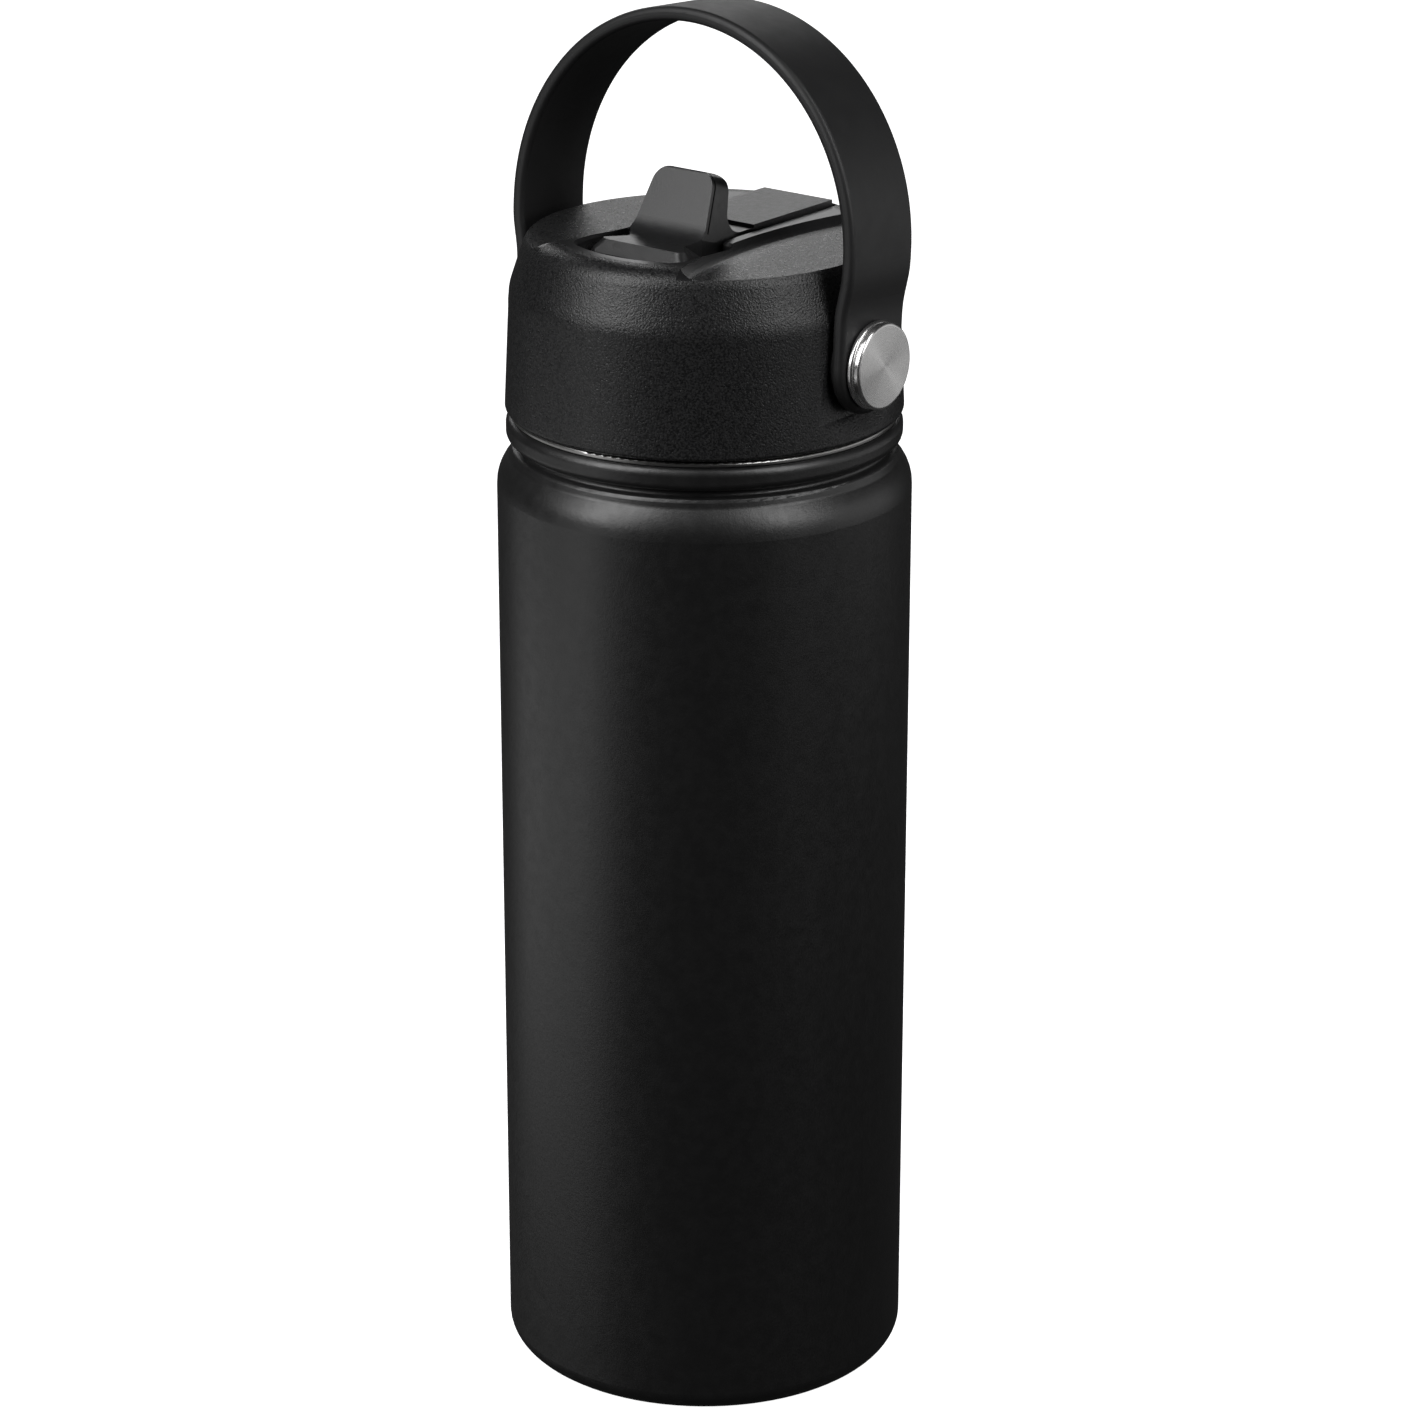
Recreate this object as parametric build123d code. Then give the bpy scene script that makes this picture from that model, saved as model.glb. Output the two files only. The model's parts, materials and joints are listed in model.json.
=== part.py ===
"""Insulated water bottle with a screw lid, flip-up straw spout and swinging strap handle.

Millimetres. +Z is up and the origin is the middle of the base, on the surface that the bottle stands on.
+X is along the strap's pivot, and -Y is the front, where the spout's thumb tab stands.
"""

import os
from math import atan2, cos, degrees, radians, sin, sqrt, tan

from build123d import *

# How far a cutter runs past the face that it opens, and further where nothing is in its way
PAST = 3.0
FAR = 50.0

# Lengths closer than this are the same
SAME = 0.01

# Bottle body
BODY_R = 36.5
SHELL_T = 0.7
BASE_EDGE_R = 3.8
BASE_RING_R = 31.0
BASE_STEP = 1.5
BASE_DIMPLE = 3.0
GETTER_CLIP_T = 0.4
GETTER_R = 3.6
GETTER_T = 1.8
SHOULDER_Z = 168.6
BEAD_R = 34.8
BEAD_LOW_Z = 174.5
BEAD_TOP_Z = 178.3
BODY_THROAT_R = 31.2
LINER_R = 32.9
LINER_LOW_Z = 8.0
LINER_SHOULDER_Z = 160.0

# Neck and screw thread
MOUTH_R = 27.3
NECK_R = 28.9
LEDGE_R = 33.9
LEDGE_T = 0.9
NECK_TOP_Z = 187.6
THREAD_PITCH = 3.2
THREAD_RISE = 4.8
THREAD_HEIGHT = 0.9
THREAD_LOW_Z = 181.1
THREAD_BASE_W = 1.3
THREAD_CREST_W = 0.5
THREAD_SINK = 0.3

# Lid
LID_R = 34.95
LID_LOW_Z = 179.5
LID_BEND_Z = 201.3
LID_BEND_R = 33.9
LID_TOP_Z = 211.2
LID_TOP_R = 30.6
LID_INNER_R = 31.8
LID_ROOF_Z = 207.8
SHELF_Z = 209.85
RAIL_HALF_W = 10.3
RAIL_SWEEP_R = 85.0
RAIL_SLOPE_RUN = 2.6
WALL = 1.3
CHANNEL_HALF_W = 8.0
CHANNEL_FLOOR_Z = 199.8
CHANNEL_END_Y = 28.0
POCKET_HALF_W = 11.6
POCKET_FRONT_R = 24.6
POCKET_BACK_Y = -6.2
POCKET_FLOOR_Z = 201.5
POCKET_CORNER_R = 4.0
CHANNEL_CORNER_R = 1.7
LIP_CHAMFER = 0.55
LIP_CHAMFER_ANGLE = 40.0
PORT_BOSS_WALL = 1.6
PIN_BOSS_WALL = 1.7
PIN_BOSS_END = 0.6
VENT_BORE_R = 1.0
FLAT_X = 33.0
FLAT_LOW_Z = 184.0
FLAT_RAMP_RUN = 2.5
FLAT_RAMP_DROP = 3.9

# Threaded cap and gasket inside the lid
CAP_SKIRT_R = 30.1
CAP_OUTER_R = 31.6
CAP_LOW_Z = 180.2
CAP_FLANGE_Z = 189.05
CAP_TOP_Z = 190.2
PLUG_R = 27.0
PLUG_WALL = 1.4
PLUG_LOW_Z = 184.6
PLUG_FLOOR_Z = 186.0
GASKET_INNER_R = 27.1
GASKET_OUTER_R = 28.9
GASKET_GAP = 0.05

# Spout and its pivot
SPOUT_Y = -5.0
SPOUT_Z = 205.0
DRUM_R = 5.4
DRUM_HALF_W = 7.4
DRUM_GAP = 0.4
SWEEP_R = 15.3
SWEEP_HALF_W = 11.1
ARM_HALF_W = 7.5
ARM_TOP_Z = 212.05
ARM_FRONT_Z = 211.5
ARM_STEP_Y = 4.2
ARM_END_Y = 26.8
ARM_LOW_Z = 208.4
COVER_LOW_Z = 206.5
TAB_BASE_HALF_W = 7.8
TAB_TOP_HALF_W = 6.1
TAB_CORNER_R = 3.2
TAB_FRONT_LOW = (-10.4, 211.5)
TAB_FRONT_HIGH = (-4.95, 222.5)
TAB_BACK_HIGH = (-0.85, 221.2)
TAB_BACK_LOW_Y = -3.75
TAB_END_Y = 3.0
TAB_ROOT_RUN = 3.7
TAB_SLANT_RUN = 11.5
TAB_FOOT_R = 5.0
TAB_FRONT_EDGE_R = 0.4
TAB_BACK_EDGE_R = 1.3
TAB_HEEL_R = 3.0
TAB_WAIST_HALF_W = 5.9
TAB_WAIST_Y = -13.2
TAB_WIDE_Y = -9.2
GROOVE_START = 0.16
GROOVE_BACK = 0.65
GROOVE_W = 0.35
GROOVE_DEPTH = 0.3
FOOT_HALF_W = 10.6
FOOT_WAIST_HALF_W = 7.6
FOOT_TOP_Z = 211.5
FOOT_BEVEL_Z = 209.4
FOOT_BEVEL_ANGLE = 39.0
FOOT_FRONT_Y = -19.2
FOOT_WAIST_Y = -12.4
FOOT_BACK_Y = -8.0
FOOT_CORNER_R = 2.0
FOOT_WAIST_SLANT = 8.4
CORE_HALF_W = 6.3
CORE_START_Y = 2.1
CORE_END_Y = 16.8
CORE_LOW_Z = 200.4
SPIGOT_R = 3.0
SPIGOT_END_Y = 20.8
SPOUT_BORE_R = 1.8
NOZZLE_Z = 204.3
NOZZLE_R = 4.0
NOZZLE_EDGE_R = 1.2
PIN_R = 1.5
PIN_INNER_X = 4.5
PIN_OUTER_X = 12.0
RUNNING_GAP = 0.05

# Drink path from the spout down to the straw
PORT_Y = -1.8
PORT_R = 3.0
PORT_BORE_R = 1.7
PORT_TOP_Z = 190.0
PORT_LOW_Z = 172.0
SEAL_TOP_Z = 202.4
STRAW_R = 4.0
STRAW_BORE_R = 3.05
STRAW_LOW_Z = 13.0
STRAW_TOP_Z = 184.3
VENT_Y = 18.0
VENT_R = 2.0

# Strap handle and its pivot bolts
PIVOT_Z = 193.1
STRAP_T = 2.5
STRAP_W = 17.5
STRAP_OUTER_X = 36.12
STRAP_BEND_Z = 202.5
STRAP_BEND_R = 20.0
STRAP_ARCH_X = 37.3
STRAP_ARCH_Z = 211.5
STRAP_ARCH_HEIGHT = 38.3
STRAP_EDGE_R = 1.0
STRAP_LEAN = 3.5
BOLT_SHOULDER_R = 3.6
BOLT_SHANK_R = 2.0
BOLT_IN_X = 28.9
BOLT_WASHER_R = 7.6
BOLT_HEAD_R = 7.5
BOLT_FACE_X = 38.8
BOLT_WASHER_X = 36.2
BOLT_HEAD_X = 37.4
BOLT_HEAD_EDGE_R = 0.5
BOLT_WASHER_EDGE_R = 0.45
INSERT_R = 2.6
BOSS_R = 3.5
BOSS_END_X = 32.6
SPACER_R = 8.0
SIDES = {"right": 1, "left": -1}


def turned(corners, radii):
    """A solid turned about the Z axis from an outline of (radius, height) corners, each rounded."""
    with BuildPart() as part:
        with BuildSketch(Plane.XZ):
            with BuildLine():
                FilletPolyline(*corners, radius=radii, close=True)
            make_face()
        revolve(axis=Axis.Z)
    return part.part


def rod_z(x, y, radius, low, high):
    """A round rod standing along Z."""
    return Pos(x, y, (low + high) / 2) * Cylinder(radius, high - low)


def rod_x(y, z, radius, low, high):
    """A round rod lying along X."""
    return Pos((low + high) / 2, y, z) * Rot(0, 90, 0) * Cylinder(radius, high - low)


def rod_y(x, z, radius, low, high):
    """A round rod lying along Y."""
    return Pos(x, (low + high) / 2, z) * Rot(90, 0, 0) * Cylinder(radius, high - low)


def block(low, high):
    """A box between two corners."""
    size = [top - bottom for bottom, top in zip(low, high)]
    middle = [(top + bottom) / 2 for bottom, top in zip(low, high)]
    return Pos(*middle) * Box(*size)


def side_profile(corners, radii, half_width):
    """A solid of constant width across X, from an outline of (y, z) corners, each rounded."""
    with BuildPart() as part:
        with BuildSketch(Plane.YZ):
            with BuildLine():
                FilletPolyline(*corners, radius=radii, close=True)
            make_face()
        extrude(amount=half_width, both=True)
    return part.part


def thread_ridge(inner_r, outer_r, inner_w, outer_w, low_z, rise):
    """A helical ridge with a trapezoid section, right-handed about the Z axis."""
    middle_r = (inner_r + outer_r) / 2
    path = Helix(THREAD_PITCH, rise, middle_r, center=(0, 0, low_z))
    section = Plane.XZ * Polygon(
        (inner_r, low_z - inner_w / 2),
        (outer_r, low_z - outer_w / 2),
        (outer_r, low_z + outer_w / 2),
        (inner_r, low_z + inner_w / 2),
        align=None,
    )
    return sweep(section, path=path, is_frenet=True)


def outer_shell():
    """The painted outer wall, from the rolled base edge up to the bead under the lid."""
    inner_r = BODY_R - SHELL_T
    corners = [
        (BASE_RING_R, 0),
        (BODY_R, 0),
        (BODY_R, SHOULDER_Z),
        (34.3, 171.05),
        (34.0, 172.4),
        (31.9, 173.6),
        (BEAD_R, BEAD_LOW_Z),
        (BEAD_R, BEAD_TOP_Z),
        (BODY_THROAT_R, BEAD_TOP_Z),
        (BODY_THROAT_R, 172.4),
        (inner_r, SHOULDER_Z - 0.6),
        (inner_r, SHELL_T),
        (BASE_RING_R, SHELL_T),
    ]
    radii = [0, BASE_EDGE_R, 7.6, 1.2, 0.8, 0.6, 1.4, 1.5, 0, 0.5, 5.0, BASE_EDGE_R - SHELL_T, 0]
    return turned(corners, radii)


def threaded_neck():
    """The bare steel neck: a ledge on the shell's bead, a plain wall and one outside thread."""
    corners = [
        (MOUTH_R + SHELL_T, BEAD_TOP_Z),
        (LEDGE_R, BEAD_TOP_Z),
        (LEDGE_R, BEAD_TOP_Z + LEDGE_T),
        (NECK_R, BEAD_TOP_Z + LEDGE_T),
        (NECK_R, NECK_TOP_Z),
        (MOUTH_R + SHELL_T, NECK_TOP_Z),
    ]
    wall = turned(corners, [0, 0.2, 0.4, 0, 0.4, 0])
    ridge = thread_ridge(
        NECK_R - THREAD_SINK,
        NECK_R + THREAD_HEIGHT,
        THREAD_BASE_W,
        THREAD_CREST_W,
        THREAD_LOW_Z,
        THREAD_RISE,
    )
    return wall + ridge


def inner_liner():
    """The inner bottle that holds the drink, hung in the shell by its mouth with a vacuum gap round it."""
    outer_neck = MOUTH_R + SHELL_T
    inner_r = LINER_R - SHELL_T
    corners = [
        (0, LINER_LOW_Z),
        (LINER_R, LINER_LOW_Z),
        (LINER_R, LINER_SHOULDER_Z),
        (outer_neck, 170.5),
        (outer_neck, NECK_TOP_Z),
        (MOUTH_R, NECK_TOP_Z),
        (MOUTH_R, 170.1),
        (inner_r, LINER_SHOULDER_Z - 0.3),
        (inner_r, LINER_LOW_Z + SHELL_T),
        (0, LINER_LOW_Z + SHELL_T),
    ]
    return turned(corners, [0, 7.0, 9.0, 6.0, 0, 0, 6.7, 8.3, 6.3, 0])


def base_plate():
    """The pressed plate that closes the shell's bottom, stepped up inside its welded rim."""
    low, step, dimple, t = SHELL_T, BASE_STEP, BASE_DIMPLE, SHELL_T
    corners = [
        (1.2, step + dimple - t),
        (5.0, step + dimple - t),
        (6.0, low + step),
        (24.0, low + step),
        (26.5, low),
        (32.4, low),
        (32.4, low + t),
        (26.8, low + t),
        (24.3, low + step + t),
        (6.4, low + step + t),
        (5.4, step + dimple),
        (1.2, step + dimple),
    ]
    return turned(corners, [0, 0.4, 0.4, 1.0, 1.0, 0, 0, 1.2, 1.2, 0.4, 0.4, 0])


def vacuum_seal():
    """The solder bead that stops the evacuation hole in the middle of the base plate."""
    corners = [(0, 2.4), (3.0, 3.0), (3.0, 3.78), (1.1, 3.78), (1.1, 5.0), (0, 5.0)]
    return turned(corners, [0, 0.3, 0, 0, 0.3, 0])


def getter_clip():
    """The thin strip welded on the base plate that carries the getter."""
    top = SHELL_T + BASE_STEP + SHELL_T
    strip = block((8, -3, top), (22, 3, top + GETTER_CLIP_T))
    return strip - rod_z(10.5, 0, 1.0, top - PAST, top + PAST)


def getter_pellet():
    """The getter that soaks up stray gas in the vacuum gap."""
    top = SHELL_T + BASE_STEP + SHELL_T + GETTER_CLIP_T
    return rod_z(17, 0, GETTER_R, top, top + GETTER_T)


def strap_flat():
    """What is cut off the lid's right side for the strap: a flat that runs out in a ramp below."""
    far_x = LID_R + PAST
    outline = Plane.XZ * Polygon(
        (FLAT_X, FLAT_LOW_Z),
        (FLAT_X + FLAT_RAMP_RUN, FLAT_LOW_Z - FLAT_RAMP_DROP),
        (far_x, FLAT_LOW_Z - FLAT_RAMP_DROP),
        (far_x, LID_TOP_Z + PAST),
        (FLAT_X, LID_TOP_Z + PAST),
        align=None,
    )
    return extrude(outline, amount=LID_R, both=True)


def lid_outside():
    """The lid's outer form, before it is hollowed: a drafted side, a sloping shoulder and a flat top."""
    corners = [
        (0, LID_LOW_Z),
        (LID_R, LID_LOW_Z),
        (LID_BEND_R, LID_BEND_Z),
        (LID_TOP_R, LID_TOP_Z),
        (0, LID_TOP_Z),
    ]
    body = turned(corners, [0, 0.7, 9.0, 4.0, 0])
    for side in SIDES.values():
        sweep_x = RAIL_HALF_W + RAIL_SWEEP_R
        slope = [
            (RAIL_SWEEP_R, LID_TOP_Z),
            (RAIL_SWEEP_R - RAIL_SLOPE_RUN, SHELF_Z),
            (RAIL_SWEEP_R - LID_TOP_R, SHELF_Z),
            (RAIL_SWEEP_R - LID_TOP_R, LID_TOP_Z + PAST),
            (RAIL_SWEEP_R, LID_TOP_Z + PAST),
        ]
        shelf = turned(slope, [0, 5.0, 0, 0, 0])
        body -= Pos(side * sweep_x, 1, 0) * shelf
        body -= strap_flat() if side > 0 else mirror(strap_flat(), Plane.YZ)
    return body


def well_plan(grow):
    """The well's outline from above: a wide pocket with a curved front, then the arm's channel."""
    half_w = POCKET_HALF_W + grow
    front_r = POCKET_FRONT_R + grow
    channel_w = CHANNEL_HALF_W + grow
    side_y = -sqrt(front_r**2 - half_w**2)
    back_y = POCKET_BACK_Y + grow
    end_y = CHANNEL_END_Y + grow
    with BuildSketch() as plan:
        with BuildLine():
            ThreePointArc((-half_w, side_y), (0, -front_r), (half_w, side_y))
            Polyline(
                (half_w, side_y),
                (half_w, back_y),
                (channel_w, back_y),
                (channel_w, end_y),
                (-channel_w, end_y),
                (-channel_w, back_y),
                (-half_w, back_y),
                (-half_w, side_y),
            )
        make_face()
        fillet(plan.vertices().group_by(Axis.Y)[0], POCKET_CORNER_R)
        middle = [v for v in plan.vertices() if abs(v.Y - back_y) < SAME]
        fillet(middle, CHANNEL_CORNER_R)
    return plan.sketch


def tub(grow, floor_drop):
    """The well that the spout folds into, grown by a wall thickness for its outside."""
    floor = POCKET_FLOOR_Z - floor_drop
    pocket = Pos(0, 0, floor) * extrude(well_plan(grow), amount=LID_TOP_Z + PAST - floor)
    half_w = SWEEP_HALF_W + grow
    sweep = rod_x(SPOUT_Y, SPOUT_Z, SWEEP_R + grow, -half_w, half_w)
    sweep &= block((-FAR, -FAR, 0), (FAR, POCKET_BACK_Y + grow, POCKET_FLOOR_Z + 1))
    half_w = CHANNEL_HALF_W + grow
    drum = rod_x(SPOUT_Y, SPOUT_Z, DRUM_R + DRUM_GAP + grow, -half_w, half_w)
    channel = block(
        (-half_w, POCKET_BACK_Y - 1, CHANNEL_FLOOR_Z - floor_drop),
        (half_w, CHANNEL_END_Y + grow, POCKET_FLOOR_Z + 1),
    )
    return pocket + sweep + drum + channel


def lid_shell():
    """The moulded lid: outside skin, rails, spout well, pivot bosses and bolt bosses in one piece."""
    outside = lid_outside()
    corners = [
        (0, LID_LOW_Z - PAST),
        (LID_INNER_R, LID_LOW_Z - PAST),
        (LID_INNER_R, 200.5),
        (29.3, LID_ROOF_Z),
        (0, LID_ROOF_Z),
    ]
    hollow = turned(corners, [0, 0, 3.0, 2.0, 0])
    port_boss = rod_z(0, PORT_Y, PORT_R + PORT_BOSS_WALL, PLUG_FLOOR_Z + 1.2, CHANNEL_FLOOR_Z)
    well = tub(WALL, WALL) & outside
    inner = well + port_boss
    for side in SIDES.values():
        low, high = sorted((side * CHANNEL_HALF_W, side * (PIN_OUTER_X + PIN_BOSS_END)))
        inner += rod_x(SPOUT_Y, SPOUT_Z, PIN_R + PIN_BOSS_WALL, low, high)
        low, high = sorted((side * (BOLT_IN_X - 0.1), side * BOSS_END_X))
        inner += rod_x(0, PIVOT_Z, BOSS_R, low, high)
    body = (outside - hollow) + inner
    body -= tub(0, 0)
    lip = extrude(well_plan(0), amount=2, taper=-LIP_CHAMFER_ANGLE)
    body -= Pos(0, 0, LID_TOP_Z - LIP_CHAMFER) * lip
    body -= rod_z(0, PORT_Y, PORT_R + RUNNING_GAP, PLUG_FLOOR_Z, SPOUT_Z)
    body -= rod_z(0, VENT_Y, VENT_BORE_R, CHANNEL_FLOOR_Z - PAST, CHANNEL_FLOOR_Z + 1)
    body -= rod_x(SPOUT_Y, SPOUT_Z, PIN_R, -PIN_OUTER_X, PIN_OUTER_X)
    for side in SIDES.values():
        low, high = sorted((side * (BOLT_IN_X - 1), side * (FLAT_X + 1)))
        body -= rod_x(0, PIVOT_Z, INSERT_R, low, high)
    return body


def thread_cap():
    """The inner cap: a skirt with the lid's thread, a flange over the gasket and a plug down the mouth."""
    corners = [
        (0, PLUG_LOW_Z),
        (PLUG_R, PLUG_LOW_Z),
        (PLUG_R, CAP_FLANGE_Z),
        (CAP_SKIRT_R, CAP_FLANGE_Z),
        (CAP_SKIRT_R, CAP_LOW_Z),
        (CAP_OUTER_R, CAP_LOW_Z),
        (CAP_OUTER_R, CAP_TOP_Z),
        (PLUG_R - PLUG_WALL, CAP_TOP_Z),
        (PLUG_R - PLUG_WALL, PLUG_FLOOR_Z),
        (0, PLUG_FLOOR_Z),
    ]
    cap = turned(corners, [0, 0.8, 0, 0, 0.3, 0.3, 0, 0, 0.5, 0])
    cap += thread_ridge(
        CAP_SKIRT_R - THREAD_HEIGHT,
        CAP_SKIRT_R + THREAD_SINK,
        THREAD_CREST_W,
        THREAD_BASE_W,
        THREAD_LOW_Z + THREAD_PITCH / 2,
        THREAD_RISE - THREAD_PITCH / 4,
    )
    cap -= rod_z(0, PORT_Y, PORT_R + RUNNING_GAP, PLUG_LOW_Z - 1, PLUG_FLOOR_Z + 1)
    cap -= rod_z(0, VENT_Y, VENT_R + RUNNING_GAP, PLUG_LOW_Z - 1, PLUG_FLOOR_Z + 1)
    return cap - rod_x(0, PIVOT_Z, BOSS_R + 0.2, -LID_R, LID_R)


def lid_gasket():
    """The silicone ring that the flange presses on the rim of the mouth."""
    low, high = NECK_TOP_Z + GASKET_GAP, CAP_FLANGE_Z - GASKET_GAP
    corners = [(GASKET_INNER_R, low), (GASKET_OUTER_R, low), (GASKET_OUTER_R, high), (GASKET_INNER_R, high)]
    return turned(corners, [0.3, 0.3, 0.3, 0.3])


def seat_seal():
    """The silicone sleeve between the straw port and the spout's drum, with a saddle-shaped top."""
    sleeve = rod_z(0, PORT_Y, PORT_R, PORT_TOP_Z + 0.05, SEAL_TOP_Z)
    sleeve -= rod_z(0, PORT_Y, PORT_BORE_R, PORT_TOP_Z - 1, SEAL_TOP_Z + 1)
    return sleeve - rod_x(SPOUT_Y, SPOUT_Z, DRUM_R + 0.25, -10, 10)


def straw_port():
    """The flanged tube through the cap's floor that the straw pushes onto."""
    tube = rod_z(0, PORT_Y, PORT_R, PORT_LOW_Z, PORT_TOP_Z)
    tube += rod_z(0, PORT_Y, PORT_R + 2.2, PLUG_FLOOR_Z + 0.05, PLUG_FLOOR_Z + 1.05)
    return tube - rod_z(0, PORT_Y, PORT_BORE_R, PORT_LOW_Z - 1, PORT_TOP_Z + 1)


def straw():
    """The drinking straw, cut at a slant near the bottom of the liner."""
    tube = rod_z(0, PORT_Y, STRAW_R, STRAW_LOW_Z, STRAW_TOP_Z)
    tube -= rod_z(0, PORT_Y, STRAW_BORE_R, STRAW_LOW_Z - 1, STRAW_TOP_Z + 1)
    slant = Pos(0, PORT_Y, STRAW_LOW_Z + 1) * Rot(35, 0, 0) * Pos(0, 0, -10) * Box(30, 30, 20)
    return tube - slant


def vent_valve():
    """The one-way silicone valve that lets air in behind the drink."""
    corners = [
        (0.5, 180.6),
        (1.0, 180.6),
        (VENT_R, PLUG_LOW_Z - 0.6),
        (VENT_R, PLUG_FLOOR_Z + 0.05),
        (3.4, PLUG_FLOOR_Z + 0.05),
        (3.4, PLUG_FLOOR_Z + 0.95),
        (0.5, PLUG_FLOOR_Z + 0.95),
    ]
    return Pos(0, VENT_Y, 0) * turned(corners, [0, 0, 0, 0, 0, 0.3, 0])


def pivot_pin(side):
    """A steel stub pin that the spout turns on, pressed into the side of the lid's well."""
    low, high = sorted((side * PIN_INNER_X, side * PIN_OUTER_X))
    return rod_x(SPOUT_Y, SPOUT_Z, PIN_R, low, high)


def spout_core():
    """The spout's drum and arm, bored from the drum's port out to the nozzle."""
    drum = rod_x(SPOUT_Y, SPOUT_Z, DRUM_R, -DRUM_HALF_W, DRUM_HALF_W)
    arm = block((-CORE_HALF_W, SPOUT_Y, SPOUT_Z), (CORE_HALF_W, CORE_END_Y, ARM_LOW_Z - RUNNING_GAP))
    arm += block((-CORE_HALF_W, CORE_START_Y, CORE_LOW_Z), (CORE_HALF_W, CORE_END_Y, SPOUT_Z))
    spigot = rod_y(0, NOZZLE_Z, SPIGOT_R, CORE_END_Y - 1, SPIGOT_END_Y)
    core = drum + arm + spigot
    core -= rod_y(0, NOZZLE_Z, SPOUT_BORE_R, SPOUT_Y, SPIGOT_END_Y + PAST)
    port_angle = degrees(atan2(-(PORT_Y - SPOUT_Y), -sqrt(DRUM_R**2 - (PORT_Y - SPOUT_Y) ** 2)))
    drill = Pos(0, 0, DRUM_R / 2 + 1) * Cylinder(SPOUT_BORE_R, DRUM_R + 2)
    core -= Pos(0, SPOUT_Y, SPOUT_Z) * Rot(port_angle - 90, 0, 0) * drill
    for side in SIDES.values():
        low, high = sorted((side * (PIN_INNER_X - 0.1), side * (DRUM_HALF_W + 1)))
        core -= rod_x(SPOUT_Y, SPOUT_Z, PIN_R + RUNNING_GAP, low, high)
    return core


def tab_outline(inset):
    """The tab's outline seen along its top, narrower there than at its root, drawn in by an inset."""
    base = TAB_BASE_HALF_W - inset
    top = TAB_TOP_HALF_W - inset
    fall = atan2(TAB_FRONT_HIGH[1] - TAB_BACK_HIGH[1], TAB_BACK_HIGH[0] - TAB_FRONT_HIGH[0])
    view = Plane(origin=(0, *TAB_FRONT_HIGH), x_dir=(1, 0, 0), z_dir=(0, -cos(fall), sin(fall)))
    outline = view * Polygon(
        (-base, -2 * TAB_SLANT_RUN),
        (base, -2 * TAB_SLANT_RUN),
        (base, -TAB_SLANT_RUN),
        (top, -inset),
        (-top, -inset),
        (-base, -TAB_SLANT_RUN),
        align=None,
    )
    corners = outline.vertices().group_by(Axis.Z)[-1]
    return extrude(fillet(corners, TAB_CORNER_R - inset), amount=FAR, both=True)


def tab_groove():
    """The fine parting groove round the tab's edge, a little behind its front face."""
    low_y, low_z = TAB_FRONT_LOW
    run_y, run_z = TAB_FRONT_HIGH[0] - low_y, TAB_FRONT_HIGH[1] - low_z
    length = sqrt(run_y**2 + run_z**2)
    back_y, back_z = run_z / length, -run_y / length
    near, far = GROOVE_BACK, GROOVE_BACK + GROOVE_W
    start, end = GROOVE_START, 1 + GROOVE_START
    corners = [
        (low_y + start * run_y + near * back_y, low_z + start * run_z + near * back_z),
        (low_y + end * run_y + near * back_y, low_z + end * run_z + near * back_z),
        (low_y + end * run_y + far * back_y, low_z + end * run_z + far * back_z),
        (low_y + start * run_y + far * back_y, low_z + start * run_z + far * back_z),
    ]
    slab = side_profile(corners, [0, 0, 0, 0], TAB_BASE_HALF_W + 1)
    return slab - tab_outline(GROOVE_DEPTH)


def spout_tab():
    """The leaning thumb tab, with a fine parting groove round its edge behind the front face."""
    root_y = TAB_FRONT_LOW[0] - TAB_ROOT_RUN
    corners = [
        (root_y, COVER_LOW_Z),
        (root_y, FOOT_TOP_Z),
        TAB_FRONT_LOW,
        TAB_FRONT_HIGH,
        TAB_BACK_HIGH,
        (TAB_BACK_LOW_Y, ARM_FRONT_Z),
        (TAB_END_Y, ARM_FRONT_Z),
        (TAB_END_Y, ARM_LOW_Z),
        (SPOUT_Y, ARM_LOW_Z),
        (SPOUT_Y, COVER_LOW_Z),
    ]
    radii = [0, 0, TAB_FOOT_R, TAB_FRONT_EDGE_R, TAB_BACK_EDGE_R, TAB_HEEL_R, 0, 0, 0, 0]
    tab = side_profile(corners, radii, TAB_BASE_HALF_W)
    tab &= tab_outline(0)
    waist, wide = TAB_WAIST_HALF_W, TAB_BASE_HALF_W + 1
    plan = Polygon(
        (-waist, -FAR),
        (waist, -FAR),
        (waist, TAB_WAIST_Y),
        (wide, TAB_WIDE_Y),
        (wide, FAR),
        (-wide, FAR),
        (-wide, TAB_WIDE_Y),
        (-waist, TAB_WAIST_Y),
        align=None,
    )
    tab &= Pos(0, 0, LID_LOW_Z) * extrude(plan, amount=FAR)
    return tab - tab_groove()


def foot_waist():
    """What is cut off the foot's left side, so that it narrows behind its front corners."""
    outer_x = -FOOT_HALF_W - 4
    plan = Polygon(
        (-FOOT_WAIST_HALF_W, FOOT_WAIST_Y),
        (-FOOT_WAIST_HALF_W, FOOT_BACK_Y + PAST),
        (outer_x, FOOT_BACK_Y + PAST),
        (outer_x, FOOT_WAIST_Y - FOOT_WAIST_SLANT),
        align=None,
    )
    below = FOOT_BEVEL_Z - COVER_LOW_Z + PAST
    upright = Pos(0, 0, FOOT_BEVEL_Z - below) * extrude(plan, amount=below)
    return upright + Pos(0, 0, FOOT_BEVEL_Z) * extrude(plan, amount=PAST, taper=-FOOT_BEVEL_ANGLE)


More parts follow.
